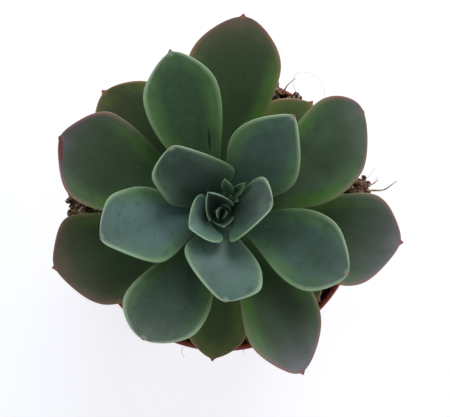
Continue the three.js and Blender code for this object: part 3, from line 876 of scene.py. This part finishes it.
def scatter(name, material, count, sizes, stretch, lowest, seed):
    """Many small lumps of one material, pressed into the mix. sizes is the least and the greatest
    radius in millimetres, stretch how long and how flat a lump is."""
    rng = np.random.default_rng(seed)
    unit, unit_faces = unit_lump()
    spots, normals = seeds_on_soil(count, lowest, rng)
    points = []
    faces = []
    for i, (spot, normal) in enumerate(zip(spots, normals)):
        radius = sizes[0] + (sizes[1] - sizes[0]) * rng.random() ** 2
        turned = Matrix.Rotation(rng.random() * FULL_TURN, 3, "Z")
        tilted = Matrix.Rotation(rng.normal() * TILT, 3, "X")
        bumps = np.array([1 + LUMPINESS * wavy(p, DENT_SIZE, i) for p in unit])
        lump = unit * bumps[:, None] * np.array([stretch[0], 1, stretch[1]]) * radius * MM
        lump = lump @ np.array(turned @ tilted).T + spot + normal * radius * PROUD * MM
        faces += [[v + i * len(unit) for v in f] for f in unit_faces]
        points.append(lump)
    made = mesh_object(name, np.concatenate(points), faces, LUMP_CREASE)
    piece(made, material, "soil")


def make_soil():
    """The mix with its loose crumbs, bark and perlite. Only the bed stands for a solid."""
    peat = earth("peat", "#261a15", "#553f34", "#a68f7c", 1.1)
    piece(soil_bed(), peat, "soil", "soil")
    crumbs = earth("peat_crumbs", "#3d261b", "#80604c", "#d8c4b0", 0.77)
    scatter("soil_crumbs", crumbs, 1900, (0.4, 1.45), (1.2, 0.8), MIX_LEVEL, 1)
    scatter("heaped_crumbs", crumbs, 520, (0.4, 1.15), (1.2, 0.8), HEAP_LEVEL, 2)
    bark = earth("bark_chips", "#3a2217", "#74492f", "#a87c58", 2.0)
    scatter("bark_chips", bark, 110, (0.8, 1.9), (2.0, 0.45), MIX_LEVEL, 3)
    perlite = earth("perlite", "#b8b0a4", "#e2ddd2", "#f4f2ec", 0.67)
    scatter("perlite_grains", perlite, 190, (0.35, 1.0), (1.1, 0.9), MIX_LEVEL, 4)


# ------------------------------------------------------------------ stem

STEM_SIDES = 72
STEM_STEP = 0.7 * MM  # between two rings of points
STEM_FIT = 0.985  # the skin's radius as a share of the solid's
INSET = 0.3 * MM  # what the skin's radius then loses
THINNEST = 0.6 * MM  # its least radius, at the growing tip
SCARS_ROUND = 5  # leaf scars side by side
SCAR_TWIST = 2.4  # how their spiral turns, in radians for each millimetre up
SCAR_ROWS = 1.9  # how they follow each other, in radians for each millimetre up
SCAR_HEIGHT = 0.22 * MM
CORK_HEIGHT = 0.16 * MM
CORK_SIZE = 2.2 * MM
CORK_CIRCLE = 6 * MM  # the cork's lumps are drawn on a circle of this radius
YOUNG_FROM, YOUNG_ALL = 100 * MM, 108 * MM  # the levels between which cork gives way to green


def stem_bark():
    """Succulent stem: corky, buff-grey and ringed by the scars of shed leaves."""
    material, tree = blank_material("stem_cork")
    coords = put(tree, "TexCoord").outputs["Object"]
    ringed = put(tree, "Mapping", {"Vector": coords, "Scale": (0.4, 0.4, 1)})
    rings = put(tree, "TexNoise", {"Vector": ringed, "Scale": per(2.4), "Detail": 5})
    cork = put(tree, "TexNoise", {"Vector": coords, "Scale": per(1.1), "Detail": 4})
    level = put(tree, "SeparateXYZ", {"Vector": coords}).outputs["Z"]

    # cork below, and green where the stem is young, between the bud's leaves
    green = layer(tree, "#22342a", "#344d3a", rings, (0.35, 0.65))
    colour = layer(tree, "#4d4a2f", "#857a55", rings, (0.35, 0.65))
    colour = layer(tree, colour, green, level, (YOUNG_FROM, YOUNG_ALL))
    height = put(tree, "Math", {0: rings, 1: cork}, operation="ADD")
    bump = put(tree, "Bump", {"Height": height, "Strength": 0.7, "Distance": 0.3 * MM})
    rough = put(tree, "MapRange", {"Value": cork, "To Min": 0.7, "To Max": 0.95})
    finish_material(tree, colour, rough, bump, IOR=1.45)
    return material


def make_stem():
    """The stem's outline follows its solid; its skin carries a spiral of leaf scars."""
    solid = points_of("stem")
    heights = sorted(set(np.round(solid[:, 2], 5)))
    widest = [np.hypot(*solid[np.abs(solid[:, 2] - z) < 0.02 * MM][:, :2].T).max() for z in heights]
    levels = np.arange(heights[0], heights[-1] - 0.2 * MM, STEM_STEP)
    points = []
    for z in levels:
        radius = np.interp(z, heights, widest)
        for k in range(STEM_SIDES):
            angle = FULL_TURN * k / STEM_SIDES
            across, back = math.cos(angle), math.sin(angle)
            scar = math.cos(SCARS_ROUND * (angle + z / MM * SCAR_TWIST)) * math.cos(z / MM * SCAR_ROWS)
            rough = wavy((across * CORK_CIRCLE, back * CORK_CIRCLE, z), CORK_SIZE)
            r = radius * STEM_FIT + SCAR_HEIGHT * scar + CORK_HEIGHT * rough - INSET
            r = max(r, THINNEST)
            points.append((r * across, r * back, z))
    points += [(0, 0, heights[0]), (0, 0, heights[-1])]
    skin = mesh_object("stem_bark", points, tube_faces(len(levels), STEM_SIDES, poles=True))
    piece(skin, stem_bark(), "stem", "stem")


# ------------------------------------------------------------------ fibres and hairs

CRINKLE_SIZE = 1.5 * MM


def fibre_material(name, dark, light):
    """Coir or a dried root: a dull, stringy plant fibre with slightly darker knots."""
    material, tree = blank_material(name)
    coords = put(tree, "TexCoord").outputs["Object"]
    knots = put(tree, "TexNoise", {"Vector": coords, "Scale": per(1.4), "Detail": 3})
    colour = layer(tree, dark, light, knots, (0.35, 0.65))
    bump = put(tree, "Bump", {"Height": knots, "Strength": 0.5, "Distance": 0.1 * MM})
    rough = put(tree, "MapRange", {"Value": knots, "To Min": 0.65, "To Max": 0.9})
    finish_material(tree, colour, rough, bump, IOR=1.5)
    return material


def strand(name, route, thick, thin, sides, steps, crinkle):
    """A tapered strand along a smooth route through points in metres. thick and thin are its radii
    at the start and at the end, and crinkle how far it strays, all three in millimetres."""
    route = [np.array(p, float) for p in route]
    ends = [2 * route[0] - route[1], *route, 2 * route[-1] - route[-2]]
    line = []
    each = max(2, steps // (len(route) - 1))
    for i in range(1, len(ends) - 2):
        line += [through(*ends[i - 1:i + 3], j / each) for j in range(each)]
    line.append(route[-1])
    line = [p + np.array([wavy(p, CRINKLE_SIZE, seed) for seed in (2, 7, 11)]) * crinkle * MM
            for p in line]
    points = []
    up = np.array([0.0, 0.0, 1.0])
    for i, p in enumerate(line):
        ahead = line[min(i + 1, len(line) - 1)] - line[max(i - 1, 0)]
        ahead /= np.linalg.norm(ahead)
        side = np.cross(ahead, up)
        side /= np.linalg.norm(side)
        top = np.cross(side, ahead)
        radius = (thick + (thin - thick) * i / (len(line) - 1)) * MM
        for k in range(sides):
            angle = FULL_TURN * k / sides
            points.append(p + radius * (math.cos(angle) * side + math.sin(angle) * top))
    faces = tube_faces(len(line), sides)
    faces.append(tuple(range(sides)))
    faces.append(tuple(reversed(range(len(points) - sides, len(points)))))
    return mesh_object(name, points, faces)


def fibre_route(node):
    """The middle line of a fibre's solid, from the pot outwards."""
    points = points_of(node)
    from_middle = points - points.mean(axis=0)
    longest = np.linalg.svd(from_middle, full_matrices=False)[2][0]
    order = np.argsort(from_middle @ longest)
    route = [points[group].mean(axis=0) for group in np.array_split(order, 7)]
    return route if np.hypot(*route[0][:2]) < np.hypot(*route[-1][:2]) else route[::-1]


def make_fibres():
    """The three fibres in place of their solids, and the thin hairs, which have none."""
    coir = fibre_material("coir", "#947d54", "#d3bd90")
    for node, thick in (("fibre_1", 0.42), ("fibre_2", 0.36), ("fibre_3", 0.3)):
        made = strand(node + "_strand", fibre_route(node), thick, 0.14, 8, 60, 0.25)
        piece(made, coir, "fibres", node)
    hair = fibre_material("dry_root_hair", "#cbc5bd", "#e8e4de")
    # where each hair runs, in millimetres
    routes = {
        "hair_loop": [(30, 43.5, 90), (28.6, 46, 93), (27.2, 49, 96), (27.8, 52.3, 98),
                      (30.5, 53.6, 98.5), (34, 53, 98), (37, 51, 96.5), (39, 47.6, 94),
                      (39.4, 43, 91)],
        "hair_right": [(53.5, 12, 95), (55.8, 14, 97), (58.5, 17, 98.5)],
        "hair_right_short": [(54, 9, 95), (57, 10.6, 96.5), (59, 13.2, 97.5), (58.6, 14.2, 98)],
        "hair_below_left": [(-15.2, -51.6, 91.5), (-15.4, -53.6, 91), (-14.2, -55.6, 90.5)],
        "hair_below": [(8.2, -51.6, 91.5), (8.4, -53.4, 91), (8.2, -54.8, 90.6)],
    }
    for name, route in routes.items():
        line = [(x * MM, y * MM, z * MM) for x, y, z in route]
        piece(strand(name, line, 0.13, 0.06, 5, 40, 0.3), hair, "fibres")


def make_shoot_stalk():
    """The stalk keeps its solid, rounded and in the shoot's skin."""
    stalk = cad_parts["side_shoot_stalk"]
    stalk.data.materials.clear()
    stalk.data.materials.append(shoot_skin)
    smooth = stalk.modifiers.new("rounded", "SUBSURF")
    smooth.levels = 2
    smooth.render_levels = 2


make_pot()
make_soil()
make_stem()
make_fibres()
make_shoot_stalk()
